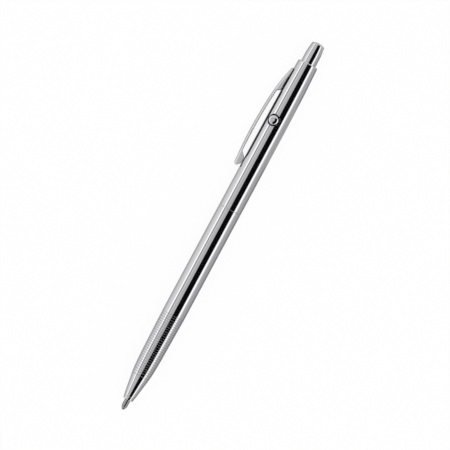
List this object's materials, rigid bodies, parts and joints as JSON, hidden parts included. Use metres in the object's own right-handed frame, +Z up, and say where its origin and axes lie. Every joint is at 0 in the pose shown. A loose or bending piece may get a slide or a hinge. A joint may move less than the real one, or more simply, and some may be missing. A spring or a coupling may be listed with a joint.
{
  "type": "pushbutton ballpoint pen",
  "caption": "Slim chromed ballpoint pen with a grooved grip, a top push button, a side release button and a spring pocket clip.",
  "frame": {"origin": "middle of the pen's footprint on the desk it lies on", "axes": "+X along the pen from its writing tip to its push button, +Z up from the desk, +Y from the pen toward its clip"},
  "size_m": [0.13, 0.01, 0.0075],
  "materials": {
    "chrome_plate": "bright chrome plate on the barrel, push button, release button and clip",
    "turned_steel": "turned stainless steel",
    "spring_steel": "drawn and tempered spring steel",
    "turned_brass": "turned brass, unplated",
    "ball_carbide": "polished carbide",
    "grey_plastic": "moulded plastic, satin"
  },
  "bodies": {
    "barrel": {"upper_barrel": "chrome_plate", "coupling_sleeve": "turned_brass", "guide_bush": "turned_brass", "latch_carrier": "turned_brass", "latch_rivet": "turned_steel", "latch_spring": "spring_steel"},
    "front": {"lower_barrel": "chrome_plate", "return_spring": "spring_steel"},
    "plunger": {"push_button": "chrome_plate", "stop_ring": "turned_steel", "thrust_tube": "turned_steel", "thrust_cup": "turned_steel"},
    "refill": {"refill_tube": "turned_steel", "refill_nose": "turned_brass", "refill_plug": "grey_plastic", "ink_float": "grey_plastic", "ball_socket": "turned_steel", "writing_ball": "ball_carbide"},
    "release": {"release_button": "chrome_plate"},
    "clip": {"pocket_clip": "chrome_plate"}
  },
  "joints": [
    {"name": "plunger_slide", "type": "slide", "parent": "barrel", "child": "plunger", "axis": [1, 0, 0], "range_m": [-0.0006, 0.005], "deforming": ["return_spring", "latch_spring"]},
    {"name": "refill_slide", "type": "slide", "parent": "barrel", "child": "refill", "axis": [1, 0, 0], "range_m": [-0.0006, 0.005], "deforming": ["return_spring"]},
    {"name": "release_press", "type": "slide", "parent": "barrel", "child": "release", "axis": [0, -0.6842, -0.7293], "range_m": [0, 0.0004], "stiffness_N_per_m": 20, "springref_m": -0.0004, "deforming": ["latch_spring"]},
    {"name": "clip_flex", "type": "hinge", "parent": "barrel", "child": "clip", "pos_m": [0.0544, 0.00175, 0.00245], "axis": [0, -0.3935, -0.9193], "range_deg": [0, 3], "stiffness_Nm_per_rad": 0.02, "springref_deg": -2.86},
    {"name": "front_draw_off", "type": "slide", "parent": "barrel", "child": "front", "axis": [-1, 0, 0], "range_m": [0, 0.075]}
  ],
  "couplings": [
    {"joint": "refill_slide", "follows": "plunger_slide", "ratio": 1}
  ]
}
